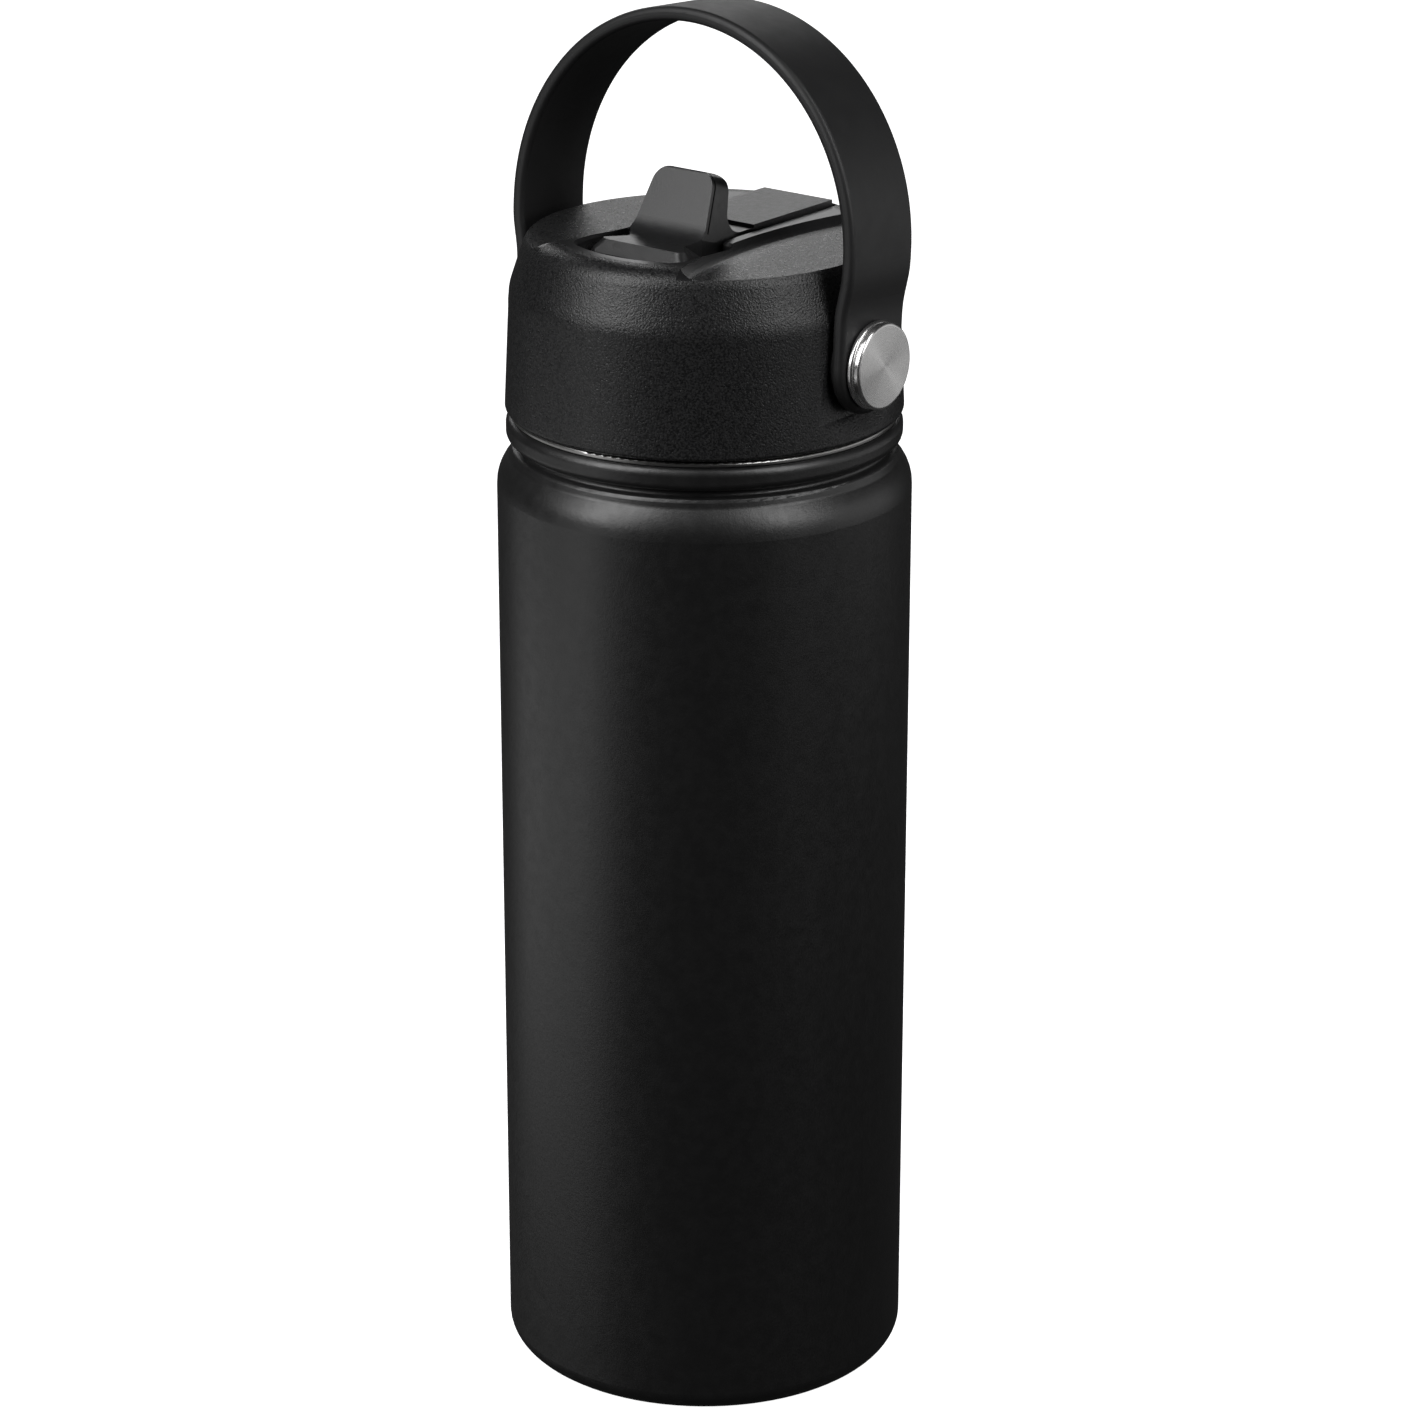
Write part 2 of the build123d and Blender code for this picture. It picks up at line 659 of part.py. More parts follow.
def spout_foot():
    """The block in front of the tab, bevelled above and waisted behind, that swings down into the well."""
    run = (FOOT_TOP_Z - FOOT_BEVEL_Z) * tan(radians(FOOT_BEVEL_ANGLE))
    corners = [
        (FOOT_BACK_Y, COVER_LOW_Z),
        (FOOT_BACK_Y, FOOT_TOP_Z),
        (FOOT_FRONT_Y + run, FOOT_TOP_Z),
        (FOOT_FRONT_Y, FOOT_BEVEL_Z),
        (FOOT_FRONT_Y, COVER_LOW_Z),
    ]
    foot = side_profile(corners, [0, 0, 0, 0, 0], FOOT_HALF_W)
    from_front = Plane.XZ * Polygon(
        (-FOOT_HALF_W, COVER_LOW_Z),
        (FOOT_HALF_W, COVER_LOW_Z),
        (FOOT_HALF_W, FOOT_BEVEL_Z),
        (FOOT_HALF_W - run, FOOT_TOP_Z),
        (run - FOOT_HALF_W, FOOT_TOP_Z),
        (-FOOT_HALF_W, FOOT_BEVEL_Z),
        align=None,
    )
    foot &= extrude(from_front, amount=FAR, both=True)
    front = [e for e in foot.edges() if e.center().Y < FOOT_FRONT_Y + run]
    foot = fillet([e for e in front if e.bounding_box().size.Z > 1], FOOT_CORNER_R)
    return foot - foot_waist() - mirror(foot_waist(), Plane.YZ)


def spout_cover():
    """The spout's outer cover: flat arm panel, thumb tab and foot in one moulding."""
    arm = block((-ARM_HALF_W, ARM_STEP_Y, ARM_LOW_Z), (ARM_HALF_W, ARM_END_Y, ARM_TOP_Z))
    arm += block((-ARM_HALF_W, -2, ARM_LOW_Z), (ARM_HALF_W, ARM_STEP_Y, ARM_FRONT_Z))
    cover = arm + spout_tab() + spout_foot()
    cover -= rod_x(SPOUT_Y, SPOUT_Z, DRUM_R + RUNNING_GAP, -12, 12)
    return cover


def mouthpiece():
    """The soft nozzle pushed on the end of the spout's arm."""
    nozzle = rod_y(0, NOZZLE_Z, NOZZLE_R, CORE_END_Y + 0.1, ARM_END_Y - 0.2)
    nozzle = fillet(nozzle.edges().group_by(Axis.Y)[-1], NOZZLE_EDGE_R)
    nozzle -= rod_y(0, NOZZLE_Z, SPIGOT_R + RUNNING_GAP, CORE_END_Y - 1, SPIGOT_END_Y + RUNNING_GAP)
    return nozzle - rod_y(0, NOZZLE_Z, SPOUT_BORE_R, SPIGOT_END_Y, ARM_END_Y + PAST)


def strap():
    """The moulded strap: two legs round the pivot bolts, joined by a tall arch."""
    inner_x = STRAP_OUTER_X - STRAP_T
    low_z = PIVOT_Z - STRAP_W / 2
    with BuildPart() as part:
        with BuildSketch(Plane.XZ):
            with BuildLine():
                for inset in (0, STRAP_T):
                    FilletPolyline(
                        (STRAP_OUTER_X - inset, low_z),
                        (STRAP_OUTER_X - inset, STRAP_BEND_Z),
                        (STRAP_ARCH_X - inset, STRAP_ARCH_Z - 3),
                        (STRAP_ARCH_X - inset, STRAP_ARCH_Z),
                        radius=STRAP_BEND_R,
                    )
                    EllipticalCenterArc(
                        (0, STRAP_ARCH_Z),
                        STRAP_ARCH_X - inset,
                        STRAP_ARCH_HEIGHT - inset,
                        start_angle=0,
                        arc_size=90,
                    )
                Line((inner_x, low_z), (STRAP_OUTER_X, low_z))
                mirror(about=Plane.YZ)
            make_face()
        extrude(amount=STRAP_W / 2, both=True)
    band = part.part
    above = block((-FAR, -STRAP_W, PIVOT_Z), (FAR, STRAP_W, PIVOT_Z + 2 * FAR))
    band &= rod_x(0, PIVOT_Z, STRAP_W / 2, -FAR, FAR) + above
    long_edges = [e for e in band.edges() if abs(abs(e.center().Y) - STRAP_W / 2) < SAME]
    band = fillet(long_edges, STRAP_EDGE_R)
    band -= rod_x(0, PIVOT_Z, BOLT_SHOULDER_R + RUNNING_GAP, -FAR, FAR)
    return band.rotate(Axis((0, 0, PIVOT_Z), (1, 0, 0)), -STRAP_LEAN)


def strap_bolt(side):
    """A shoulder bolt with a wide flat head, screwed into the lid through the strap."""
    bolt = rod_x(0, PIVOT_Z, BOLT_SHANK_R, BOLT_IN_X, FLAT_X + 0.5)
    bolt += rod_x(0, PIVOT_Z, BOLT_SHOULDER_R, FLAT_X, BOLT_HEAD_X + 0.5)
    head = rod_x(0, PIVOT_Z, BOLT_HEAD_R, BOLT_HEAD_X, BOLT_FACE_X)
    bolt += fillet(head.edges().filter_by(GeomType.CIRCLE), BOLT_HEAD_EDGE_R)
    return bolt if side > 0 else mirror(bolt, Plane.YZ)


def bolt_washer(side):
    """The steel ring between a bolt's head and the strap."""
    ring = rod_x(0, PIVOT_Z, BOLT_WASHER_R, BOLT_WASHER_X, BOLT_HEAD_X - RUNNING_GAP)
    ring = fillet(ring.edges().filter_by(GeomType.CIRCLE), BOLT_WASHER_EDGE_R)
    ring -= rod_x(0, PIVOT_Z, BOLT_SHOULDER_R + RUNNING_GAP, 0, FAR)
    return ring if side > 0 else mirror(ring, Plane.YZ)


def strap_insert(side):
    """The brass insert in the lid that a bolt screws into."""
    sleeve = rod_x(0, PIVOT_Z, INSERT_R, BOLT_IN_X, FLAT_X - 0.1)
    sleeve -= rod_x(0, PIVOT_Z, BOLT_SHANK_R, 0, FAR)
    return sleeve if side > 0 else mirror(sleeve, Plane.YZ)


def strap_spacer(side):
    """The slippery washer between the strap and the flat on the lid."""
    low, high = FLAT_X + 0.02, STRAP_OUTER_X - STRAP_T - 0.05
    disc = rod_x(0, PIVOT_Z, SPACER_R, low, high)
    disc -= rod_x(0, PIVOT_Z, BOLT_SHOULDER_R + RUNNING_GAP, 0, FAR)
    return disc if side > 0 else mirror(disc, Plane.YZ)


def main():
    os.makedirs("parts", exist_ok=True)
    pieces = {
        "outer_shell": outer_shell(),
        "threaded_neck": threaded_neck(),
        "inner_liner": inner_liner(),
        "base_plate": base_plate(),
        "vacuum_seal": vacuum_seal(),
        "getter_clip": getter_clip(),
        "getter_pellet": getter_pellet(),
        "lid_shell": lid_shell(),
        "thread_cap": thread_cap(),
        "lid_gasket": lid_gasket(),
        "seat_seal": seat_seal(),
        "straw_port": straw_port(),
        "straw": straw(),
        "vent_valve": vent_valve(),
        "spout_cover": spout_cover(),
        "spout_core": spout_core(),
        "mouthpiece": mouthpiece(),
        "strap": strap(),
    }
    paired = [pivot_pin, strap_bolt, bolt_washer, strap_insert, strap_spacer]
    for make in paired:
        for word, side in SIDES.items():
            pieces[f"{make.__name__}_{word}"] = make(side)
    for node, shape in pieces.items():
        export_step(shape, f"parts/{node}.step")


main()
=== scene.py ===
"""Insulated water bottle: materials, fine detail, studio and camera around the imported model. Metres."""

import json
import math

import bpy
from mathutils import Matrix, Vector


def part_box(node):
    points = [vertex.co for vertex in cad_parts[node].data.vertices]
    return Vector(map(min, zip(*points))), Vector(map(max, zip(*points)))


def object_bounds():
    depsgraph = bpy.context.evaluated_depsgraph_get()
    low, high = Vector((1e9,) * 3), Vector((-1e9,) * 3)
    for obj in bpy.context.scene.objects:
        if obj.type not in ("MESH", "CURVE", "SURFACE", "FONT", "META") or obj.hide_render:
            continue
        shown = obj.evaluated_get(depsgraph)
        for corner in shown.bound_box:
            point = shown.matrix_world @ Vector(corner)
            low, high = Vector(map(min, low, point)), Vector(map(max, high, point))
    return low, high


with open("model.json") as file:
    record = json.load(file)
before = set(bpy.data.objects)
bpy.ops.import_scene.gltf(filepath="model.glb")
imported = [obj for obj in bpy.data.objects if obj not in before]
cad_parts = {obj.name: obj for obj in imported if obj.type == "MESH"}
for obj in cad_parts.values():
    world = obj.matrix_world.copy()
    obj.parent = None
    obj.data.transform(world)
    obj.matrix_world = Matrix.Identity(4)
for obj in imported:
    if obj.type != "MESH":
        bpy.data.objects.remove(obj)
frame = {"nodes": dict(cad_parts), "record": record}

nodes = frame["nodes"]
cad_low, cad_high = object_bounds()

# Places on the bottle, read from the frame
LID_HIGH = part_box("lid_shell")[1].z
BOLT_LOW, BOLT_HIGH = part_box("strap_bolt_right")
PIVOT_Z = (BOLT_LOW.z + BOLT_HIGH.z) / 2

# The smooth band across the grained lid top: its floor and front edge, and how softly the grain stops there
BAND_DEPTH = 0.0013
BAND_FLOOR_Z = LID_HIGH - BAND_DEPTH
BAND_RISE = 0.00015
BAND_FRONT_R = 0.0266
BAND_BLUR = 0.0001

# The rails beside the spout: arcs about a point out on each side, with a smooth slope beside each
RAIL_CENTRE_X = 0.0953
RAIL_CENTRE_Y = 0.001
RAIL_R = 0.085
SLOPE_WIDTH = 0.0025
SLOPE_BLUR = 0.0002

# Where the spout's thumb tab gives way to its arm, which has more grain
ARM_START_Y, ARM_FULL_Y = 0.003, 0.005

# The paint's worn edge at the base: bare up to the first height, and whole from the second
SCUFF_Z, PAINT_Z = 0.0004, 0.0035

# Distances in from the bolt's outer end at which its turned face starts and is full
FACE_START, FACE_FULL = 0.0002, 0.00005

# Camera: angles in degrees, lengths in metres
CAMERA_AZIMUTH = 38.2
CAMERA_PITCH = 20.223
CAMERA_REACH = 0.75817
CAMERA_HEIGHT = 0.40279
CAMERA_LENS = 115.2
SENSOR = 36.0

# Studio: the heights that the softboxes face, and the floor with its round backdrop
LID_AIM_Z = 0.19
LOW_AIM_Z = -0.07
TOP_AIM_Z = 0.2
STUDIO_R = 8.0
WALL_REACH = 12.0
FLOOR_HOLE_R = 0.026
FLOOR_DROP = 0.0001
WORLD_STRENGTH = 0.025


# ---------------------------------------------------------------- node helpers


class Shader:
    """One material's node tree, with short calls for the nodes used here."""

    def __init__(self, name, colour, roughness, metallic=0.0, **fixed):
        self.material = bpy.data.materials.new(name)
        self.material.use_nodes = True
        self.tree = self.material.node_tree
        self.tree.nodes.clear()
        output = self.tree.nodes.new("ShaderNodeOutputMaterial")
        self.bsdf = self.tree.nodes.new("ShaderNodeBsdfPrincipled")
        self.link(self.bsdf.outputs["BSDF"], output.inputs["Surface"])
        self.bsdf.inputs["Base Color"].default_value = (*colour, 1.0)
        self.bsdf.inputs["Roughness"].default_value = roughness
        self.bsdf.inputs["Metallic"].default_value = metallic
        for socket, value in fixed.items():
            self.bsdf.inputs[socket.replace("_", " ")].default_value = value
        self.coords = self.tree.nodes.new("ShaderNodeTexCoord").outputs["Object"]
        self.split = self.tree.nodes.new("ShaderNodeSeparateXYZ")
        self.link(self.coords, self.split.inputs[0])
        self.last_normal = None

    def link(self, source, target):
        self.tree.links.new(source, target)

    def put(self, value, target):
        """Links a socket, or sets a plain number."""
        if isinstance(value, bpy.types.NodeSocket):
            self.link(value, target)
        else:
            target.default_value = value

    def math(self, operation, a, b=0.0, clamp=False):
        node = self.tree.nodes.new("ShaderNodeMath")
        node.operation = operation
        node.use_clamp = clamp
        self.put(a, node.inputs[0])
        self.put(b, node.inputs[1])
        return node.outputs[0]

    def scaled(self, factors):
        """The coordinates stretched by three factors."""
        node = self.tree.nodes.new("ShaderNodeVectorMath")
        node.operation = "MULTIPLY"
        self.link(self.coords, node.inputs[0])
        node.inputs[1].default_value = factors
        return node.outputs[0]

    def noise(self, scale, detail=2.0, roughness=0.5, coords=None):
        node = self.tree.nodes.new("ShaderNodeTexNoise")
        self.link(coords or self.coords, node.inputs["Vector"])
        node.inputs["Scale"].default_value = scale
        node.inputs["Detail"].default_value = detail
        node.inputs["Roughness"].default_value = roughness
        return node.outputs[0]

    def cells(self, scale):
        """Rounded cells, as distances from their middles."""
        node = self.tree.nodes.new("ShaderNodeTexVoronoi")
        node.feature = "SMOOTH_F1"
        self.link(self.coords, node.inputs["Vector"])
        node.inputs["Scale"].default_value = scale
        return node.outputs["Distance"]

    def rings(self, height, scale, detail):
        """Noise that depends only on the distance from an axis along X at that height."""
        up = self.math("SUBTRACT", self.split.outputs["Z"], height)
        square = self.math("MULTIPLY", up, up)
        side = self.math("MULTIPLY", self.split.outputs["Y"], self.split.outputs["Y"])
        return self.line_noise(self.math("SQRT", self.math("ADD", square, side)), scale, detail)

    def line_noise(self, along, scale, detail):
        """Noise in one dimension."""
        node = self.tree.nodes.new("ShaderNodeTexNoise")
        node.noise_dimensions = "1D"
        self.link(along, node.inputs["W"])
        node.inputs["Scale"].default_value = scale
        node.inputs["Detail"].default_value = detail
        return node.outputs[0]

    def radius(self):
        """Distance from the Z axis."""
        x, y = self.split.outputs["X"], self.split.outputs["Y"]
        return self.math("SQRT", self.math("ADD", self.math("MULTIPLY", x, x), self.math("MULTIPLY", y, y)))

    def remap(self, value, low, high, to_low, to_high):
        node = self.tree.nodes.new("ShaderNodeMapRange")
        node.interpolation_type = "SMOOTHSTEP"
        self.link(value, node.inputs["Value"])
        sockets = ("From Min", "From Max", "To Min", "To Max")
        for socket, number in zip(sockets, (low, high, to_low, to_high)):
            node.inputs[socket].default_value = number
        return node.outputs["Result"]

    def blend(self, factor, colour_a, colour_b):
        node = self.tree.nodes.new("ShaderNodeMix")
        node.data_type = "RGBA"
        self.put(factor, node.inputs["Factor"])
        for socket, colour in (("A", colour_a), ("B", colour_b)):
            target = next(i for i in node.inputs if i.name == socket and i.type == "RGBA")
            if isinstance(colour, tuple):
                target.default_value = (*colour, 1.0)
            else:
                self.link(colour, target)
        return next(o for o in node.outputs if o.type == "RGBA")

    def bump(self, height, depth, strength=1.0):
        """Adds relief of that depth in metres on top of what is there."""
        node = self.tree.nodes.new("ShaderNodeBump")
        self.put(strength, node.inputs["Strength"])
        node.inputs["Distance"].default_value = depth
        self.link(height, node.inputs["Height"])
        if self.last_normal:
            self.link(self.last_normal, node.inputs["Normal"])
        self.last_normal = node.outputs["Normal"]
        self.link(self.last_normal, self.bsdf.inputs["Normal"])

    def colour(self, socket):
        self.link(socket, self.bsdf.inputs["Base Color"])

    def rough(self, socket):
        self.link(socket, self.bsdf.inputs["Roughness"])


# ---------------------------------------------------------------- materials


def powder_coat():
    """Near-black powder paint: orange peel, a fine speckle, and a scuffed base edge."""
    s = Shader("powder_coat", (0.006, 0.006, 0.0063), 0.4, Specular_IOR_Level=0.85)
    mottled = s.blend(s.noise(scale=28, detail=3), (0.0050, 0.0050, 0.0053), (0.0075, 0.0074, 0.0075))
    scuff = s.remap(s.noise(scale=700, detail=4, roughness=0.65), 0.6, 0.72, 0.0, 1.0)
    low = s.remap(s.split.outputs["Z"], SCUFF_Z, PAINT_Z, 1.0, 0.0)
    worn = s.math("MULTIPLY", scuff, low)
    s.colour(s.blend(worn, mottled, (0.10, 0.098, 0.095)))
    s.rough(s.remap(s.noise(scale=420, detail=3, roughness=0.6), 0.25, 0.75, 0.37, 0.44))
    s.bump(s.noise(scale=1500, detail=2, roughness=0.5), depth=0.00005, strength=0.5)
    s.bump(s.noise(scale=4200, detail=2, roughness=0.6), depth=0.00003, strength=0.6)
    return s.material


def lid_plastic():
    """Black moulded lid: spark-eroded grain, but smooth on the band and on the rails' slopes."""
    s = Shader("lid_plastic", (0.013, 0.013, 0.0135), 0.5)
    z = s.split.outputs["Z"]
    high = s.remap(z, BAND_FLOOR_Z, BAND_FLOOR_Z + BAND_RISE, 0.0, 1.0)
    inside = s.remap(s.radius(), BAND_FRONT_R - BAND_BLUR, BAND_FRONT_R + BAND_BLUR, 1.0, 0.0)
    band = s.math("MULTIPLY", high, inside)
    side = s.math("SUBTRACT", RAIL_CENTRE_X, s.math("ABSOLUTE", s.split.outputs["X"]))
    along = s.math("SUBTRACT", s.split.outputs["Y"], RAIL_CENTRE_Y)
    squares = s.math("ADD", s.math("MULTIPLY", side, side), s.math("MULTIPLY", along, along))
    sweep = s.math("SQRT", squares)
    foot = RAIL_R - SLOPE_WIDTH
    outside = s.remap(sweep, foot - SLOPE_BLUR, foot + SLOPE_BLUR, 0.0, 1.0)
    ribbon = s.math("MULTIPLY", outside, s.math("GREATER_THAN", RAIL_R, sweep))
    slope = s.math("MULTIPLY", ribbon, s.math("GREATER_THAN", z, BAND_FLOOR_Z - BAND_BLUR))
    smooth = s.math("MAXIMUM", band, slope)
    grained = s.math("SUBTRACT", 1.0, smooth, clamp=True)
    speckle = s.noise(scale=2900, detail=2, roughness=0.6)
    shade = s.blend(s.remap(speckle, 0.38, 0.62, 0.0, 1.0), (0.006, 0.006, 0.0065), (0.026, 0.026, 0.0265))
    s.colour(s.blend(grained, (0.012, 0.012, 0.0125), shade))
    patches = s.noise(scale=1500, detail=3, roughness=0.6)
    worn = s.math("MULTIPLY", grained, s.remap(patches, 0.3, 0.7, -0.05, 0.05))
    polish = s.math("SUBTRACT", 0.31, s.math("MULTIPLY", slope, 0.11))
    s.rough(s.math("ADD", polish, worn))
    s.bump(speckle, depth=0.0001, strength=grained)
    s.bump(s.cells(scale=3800), depth=0.00003, strength=grained)
    return s.material


def spout_plastic():
    """Satin black moulding of the spout, with a very fine grain."""
    s = Shader("spout_plastic", (0.014, 0.014, 0.0145), 0.33, Specular_IOR_Level=0.72)
    s.colour(s.blend(s.noise(scale=90, detail=3), (0.012, 0.012, 0.0125), (0.016, 0.016, 0.0165)))
    s.rough(s.remap(s.noise(scale=900, detail=4, roughness=0.6), 0.3, 0.7, 0.29, 0.36))
    arm = s.remap(s.split.outputs["Y"], ARM_START_Y, ARM_FULL_Y, 0.4, 1.4)
    s.bump(s.noise(scale=3000, detail=3, roughness=0.6), depth=0.00006, strength=arm)
    s.bump(s.noise(scale=300, detail=2), depth=0.00003, strength=0.1)
    return s.material


def strap_rubber():
    """Smooth matte moulded strap with a dusty fine grain and a few handling marks."""
    s = Shader("strap_rubber", (0.013, 0.013, 0.0135), 0.5)
    s.colour(s.blend(s.noise(scale=60, detail=4), (0.0125, 0.0125, 0.013), (0.0145, 0.0145, 0.015)))
    s.rough(s.remap(s.noise(scale=260, detail=5, roughness=0.65), 0.3, 0.7, 0.47, 0.53))
    s.bump(s.noise(scale=6500, detail=2, roughness=0.6), depth=0.00001, strength=0.5)
    return s.material


def turned_steel():
    """A bolt head: a polished rim round a face turned on a lathe, whose light fans out from its middle."""
    s = Shader("turned_steel", (0.82, 0.815, 0.81), 0.26, 1.0, Anisotropic=0.85, Anisotropic_Rotation=0.25)
    tangent = s.tree.nodes.new("ShaderNodeTangent")
    tangent.direction_type = "RADIAL"
    tangent.axis = "X"
    s.link(tangent.outputs[0], s.bsdf.inputs["Tangent"])
    rings = s.rings(PIVOT_Z, scale=9000, detail=4)
    out = s.math("ABSOLUTE", s.split.outputs["X"])
    face = s.remap(out, BOLT_HIGH.x - FACE_START, BOLT_HIGH.x - FACE_FULL, 0.0, 1.0)
    grooved = s.math("MULTIPLY", face, s.remap(rings, 0.3, 0.7, -0.05, 0.04))
    s.rough(s.math("ADD", 0.27, grooved))
    s.colour(s.blend(s.math("MULTIPLY", face, rings), (0.88, 0.875, 0.87), (0.74, 0.735, 0.73)))
    s.bump(rings, depth=0.000012, strength=s.math("MULTIPLY", face, 0.4))
    return s.material


def ring_steel(name, colour, sharp, dull, stretch=(180, 180, 9000)):
    """Bright steel with fine marks round the axis that the stretch is largest along."""
    s = Shader(name, colour, sharp, 1.0)
    marks = s.noise(scale=1.0, detail=4, roughness=0.7, coords=s.scaled(stretch))
    s.rough(s.remap(marks, 0.3, 0.75, sharp, dull))
    s.bump(marks, depth=0.00001, strength=0.15)
    return s.material


def liner_steel():
    """The brushed inner bottle."""
    s = Shader("liner_steel", (0.56, 0.55, 0.53), 0.32, 1.0)
    brushed = s.noise(scale=1.0, detail=5, roughness=0.7, coords=s.scaled((90, 90, 5200)))
    s.rough(s.remap(brushed, 0.25, 0.75, 0.24, 0.42))
    s.colour(s.blend(brushed, (0.50, 0.49, 0.47), (0.60, 0.59, 0.57)))
    s.bump(brushed, depth=0.00002, strength=0.25)
    return s.material


def base_steel():
    """The spun base plate, with rings from the lathe and light wear."""
    s = Shader("base_steel", (0.5, 0.5, 0.49), 0.35, 1.0)
    turned = s.line_noise(s.radius(), scale=2600, detail=4)
    worn = s.noise(scale=260, detail=5, roughness=0.7)
    s.rough(s.remap(worn, 0.3, 0.7, 0.28, 0.48))
    s.colour(s.blend(turned, (0.44, 0.44, 0.43), (0.56, 0.56, 0.55)))
    s.bump(turned, depth=0.00002, strength=0.3)
    return s.material


def small_metal(name, dark, light, roughness, grain):
    """Brass, solder or sintered metal, told apart by colour, gloss and grain size."""
    s = Shader(name, light, roughness, 1.0)
    spots = s.noise(scale=grain, detail=5, roughness=0.65)
    s.colour(s.blend(spots, dark, light))
    s.rough(s.remap(spots, 0.25, 0.75, roughness - 0.07, roughness + 0.1))
    s.bump(spots, depth=0.00003, strength=0.25)
    return s.material


def cap_plastic():
    """Plain black moulding of the inner parts, with faint tool marks."""
    s = Shader("cap_plastic", (0.02, 0.02, 0.021), 0.4)
    s.colour(s.blend(s.noise(scale=120, detail=3), (0.017, 0.017, 0.018), (0.024, 0.024, 0.025)))
    s.rough(s.remap(s.noise(scale=700, detail=4), 0.3, 0.7, 0.34, 0.48))
    marks = s.noise(scale=1.0, detail=3, roughness=0.6, coords=s.scaled((300, 300, 4000)))
    s.bump(marks, depth=0.00002, strength=0.2)
    return s.material


def silicone(name, dark, light, scatter):
    """Soft silicone: matte, slightly waxy, with a dusty fine grain."""
    s = Shader(name, light, 0.55, Subsurface_Weight=scatter, Subsurface_Scale=0.002)
    s.colour(s.blend(s.noise(scale=110, detail=3), dark, light))
    s.rough(s.remap(s.noise(scale=900, detail=4), 0.3, 0.7, 0.48, 0.64))
    s.bump(s.noise(scale=3800, detail=3), depth=0.00002, strength=0.35)
    return s.material


def straw_plastic():
    """The milky straw, with faint lengthwise drawing lines."""
    s = Shader("straw_plastic", (0.74, 0.76, 0.77), 0.3, Transmission_Weight=0.35, IOR=1.49)
    lines = s.noise(scale=1.0, detail=4, roughness=0.6, coords=s.scaled((3200, 3200, 12)))
    s.rough(s.remap(lines, 0.3, 0.7, 0.24, 0.38))
    s.colour(s.blend(lines, (0.70, 0.72, 0.73), (0.78, 0.80, 0.81)))
    s.bump(lines, depth=0.00002, strength=0.2)
    return s.material


def dress_nodes():
    """Gives every CAD node the finish of its record slot, or a finish of its own of the same steel."""
    finishes = {
        "powder_coat": powder_coat(),
        "polished_steel": ring_steel("polished_steel", (0.74, 0.735, 0.72), sharp=0.18, dull=0.25),
        "liner_steel": liner_steel(),
        "base_steel": base_steel(),
        "bolt_steel": turned_steel(),
        "solder": small_metal("solder", (0.36, 0.36, 0.37), (0.5, 0.5, 0.51), roughness=0.42, grain=900),
        "getter": small_metal("getter", (0.10, 0.10, 0.10), (0.2, 0.19, 0.18), roughness=0.7, grain=2600),
        "brass": small_metal("brass", (0.62, 0.45, 0.19), (0.76, 0.58, 0.28), roughness=0.28, grain=1400),
        "lid_plastic": lid_plastic(),
        "cap_plastic": cap_plastic(),
        "spout_plastic": spout_plastic(),
        "straw_plastic": straw_plastic(),
        "gasket_silicone": silicone("gasket_silicone", (0.60, 0.60, 0.58), (0.72, 0.72, 0.69), scatter=0.3),
        "mouth_silicone": silicone("mouth_silicone", (0.02, 0.02, 0.021), (0.032, 0.032, 0.034), scatter=0),
        "strap_rubber": strap_rubber(),
    }
    round_x = (9000, 180, 180)
    washer_steel = ring_steel("washer_steel", (0.84, 0.835, 0.83), sharp=0.24, dull=0.32, stretch=round_x)
    special = {
        "threaded_neck": ring_steel("neck_steel", (0.42, 0.417, 0.41), sharp=0.26, dull=0.38),
        "bolt_washer_left": washer_steel,
        "bolt_washer_right": washer_steel,
    }
    slot_of = {row["node"]: row["material_slot"] for row in frame["record"]["subparts"]}
    for name, node in nodes.items():
        node.data.materials.clear()
        node.data.materials.append(special.get(name, finishes[slot_of[name]]))


# ---------------------------------------------------------------- studio


def around(azimuth, elevation, distance, target):
    """A place round the target. Azimuth 0 is the camera's side, and left of it is positive."""
    angle = math.radians(CAMERA_AZIMUTH - azimuth)
    rise = math.radians(elevation)
    out = Vector((math.sin(angle) * math.cos(rise), -math.cos(angle) * math.cos(rise), math.sin(rise)))
    return target + out * distance


def soft_light(name, azimuth, elevation, distance, size, radiance, aim_z=LID_AIM_Z):
    """A rectangular softbox that faces the bottle's axis, its strength given by how bright its face is."""
    width, height = size
    data = bpy.data.lights.new(name, "AREA")
    data.shape = "RECTANGLE"
    data.size = width
    data.size_y = height
    data.energy = radiance * math.pi * width * height
    light = bpy.data.objects.new(name, data)
    bpy.context.scene.collection.objects.link(light)
    target = Vector((0, 0, aim_z))
    light.location = around(azimuth, elevation, distance, target)
    light.rotation_euler = (target - light.location).to_track_quat("-Z", "Y").to_euler()


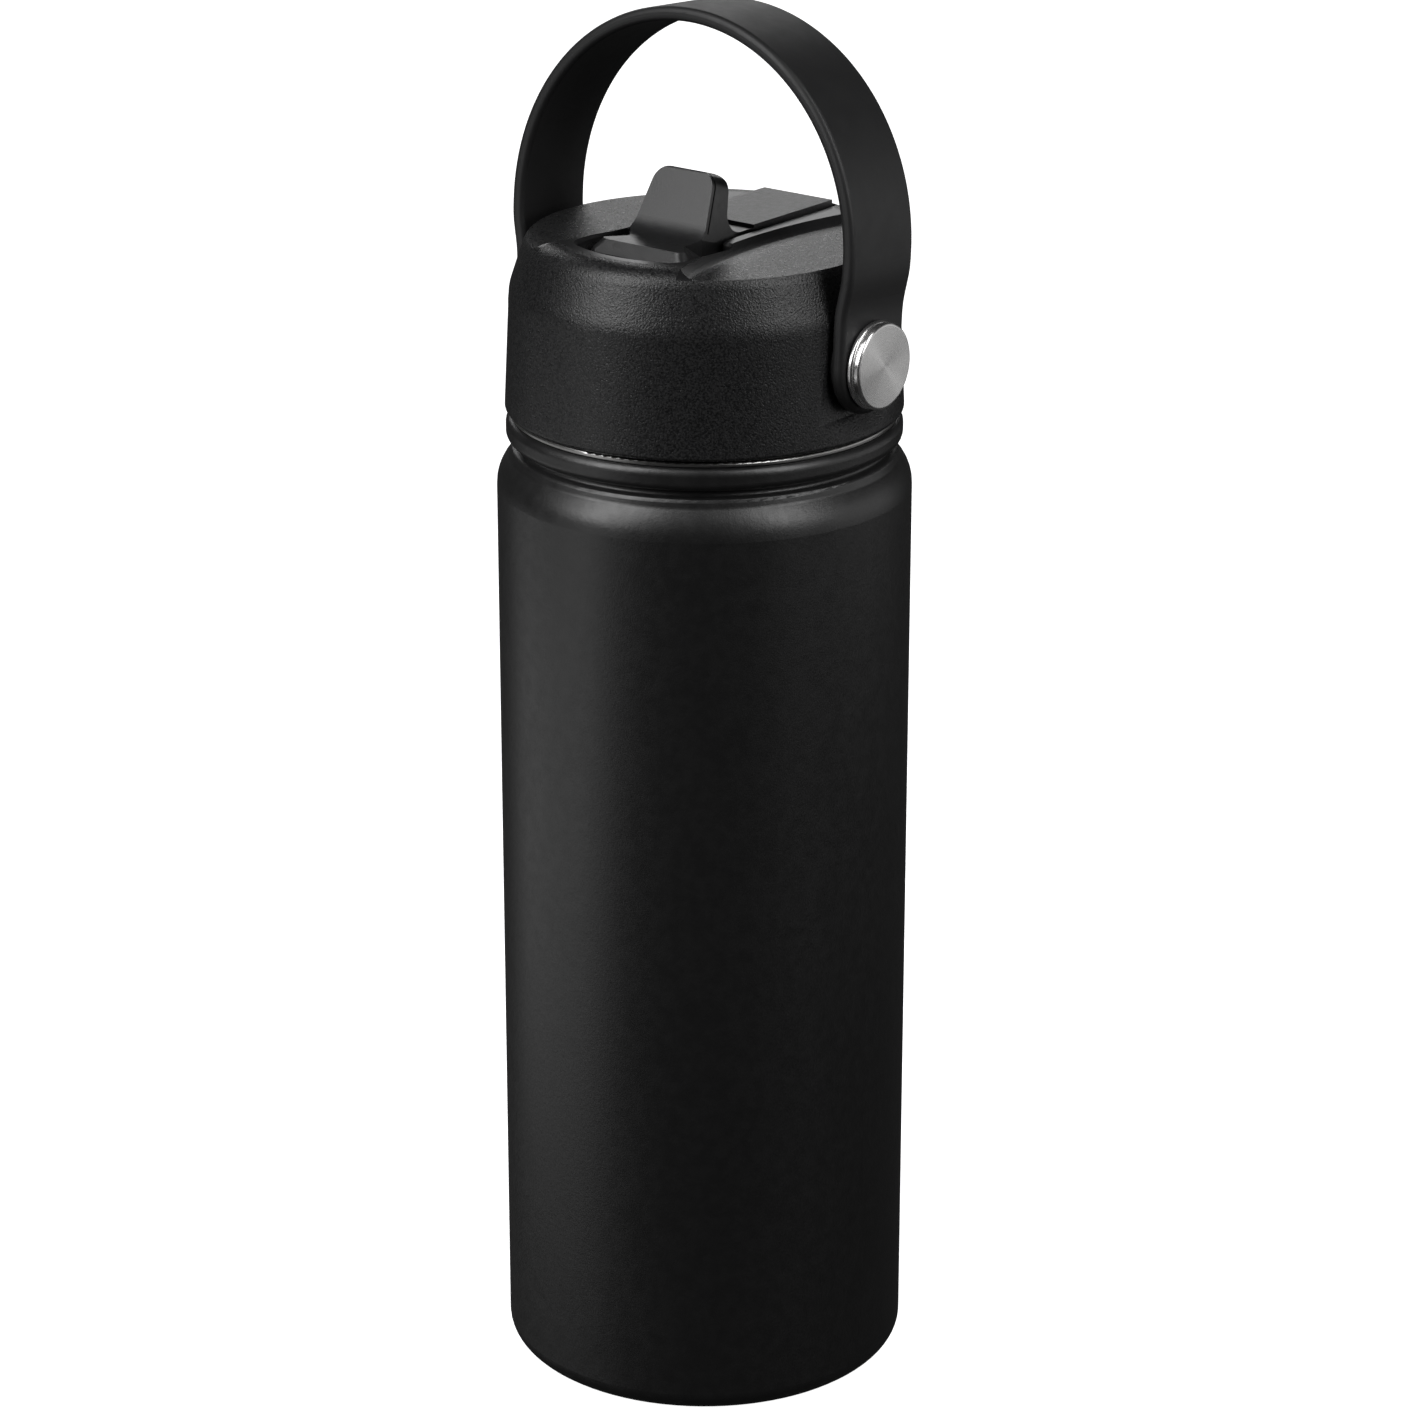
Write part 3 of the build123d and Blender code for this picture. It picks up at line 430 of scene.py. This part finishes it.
def stage_band(name, near, far, brightness):
    """A ring of the studio between two circles, each a radius and a height. Only the camera sees it."""
    sides = 64
    corners = []
    for radius, z in (near, far):
        for i in range(sides):
            angle = math.tau * i / sides
            corners.append((radius * math.cos(angle), radius * math.sin(angle), z))
    nexts = [(i + 1) % sides for i in range(sides)]
    mesh = bpy.data.meshes.new(name)
    mesh.from_pydata(corners, [], [(i, j, j + sides, i + sides) for i, j in enumerate(nexts)])
    s = Shader(name, (0.9, 0.9, 0.9), 0.9, Emission_Color=(1, 1, 1, 1), Emission_Strength=brightness)
    mesh.materials.append(s.material)
    piece = bpy.data.objects.new(name, mesh)
    bpy.context.scene.collection.objects.link(piece)
    piece.visible_glossy = False
    piece.visible_diffuse = False
    piece.visible_shadow = False


def make_floor_and_backdrop():
    """A wide pale floor, open only under the base, and a round wall at its edge."""
    floor_z = cad_low.z - FLOOR_DROP
    stage_band("floor", (FLOOR_HOLE_R, floor_z), (STUDIO_R, floor_z), 0.97)
    stage_band("backdrop", (STUDIO_R, -WALL_REACH), (STUDIO_R, WALL_REACH), 1.0)


def make_world():
    world = bpy.data.worlds.new("studio")
    world.use_nodes = True
    background = world.node_tree.nodes["Background"]
    background.inputs["Color"].default_value = (1, 1, 1, 1)
    background.inputs["Strength"].default_value = WORLD_STRENGTH
    bpy.context.scene.world = world


def make_camera():
    data = bpy.data.cameras.new("camera")
    data.sensor_width = SENSOR
    data.lens = CAMERA_LENS
    camera = bpy.data.objects.new("camera", data)
    bpy.context.scene.collection.objects.link(camera)
    turn = math.radians(CAMERA_AZIMUTH)
    camera.location = (CAMERA_REACH * math.sin(turn), -CAMERA_REACH * math.cos(turn), CAMERA_HEIGHT)
    camera.rotation_euler = (math.radians(90 - CAMERA_PITCH), 0, turn)
    bpy.context.scene.camera = camera


def make_studio():
    make_world()
    make_floor_and_backdrop()
    soft_light("key_left", azimuth=62, elevation=37, distance=1.1, size=(0.52, 1.12), radiance=5.3)
    soft_light("key_right", azimuth=-51, elevation=38, distance=1.1, size=(0.4, 1.0), radiance=4.6)
    soft_light("low_left", azimuth=62, elevation=-12, distance=1.1, size=(0.5, 0.45), radiance=0.45)
    soft_light("low_right", azimuth=-51, elevation=-4, distance=1.1, size=(0.4, 0.4), radiance=0.45)
    soft_light("card_left", azimuth=92, elevation=1, distance=0.48, size=(0.6, 0.2), radiance=0.62,
               aim_z=LOW_AIM_Z)
    soft_light("card_right", azimuth=-93, elevation=2, distance=0.44, size=(0.42, 0.28), radiance=0.58)
    soft_light("back_box", azimuth=176, elevation=19, distance=1.4, size=(1.2, 0.35), radiance=2.0,
               aim_z=TOP_AIM_Z)
    bpy.context.scene.view_settings.view_transform = "Standard"


dress_nodes()
make_camera()
make_studio()
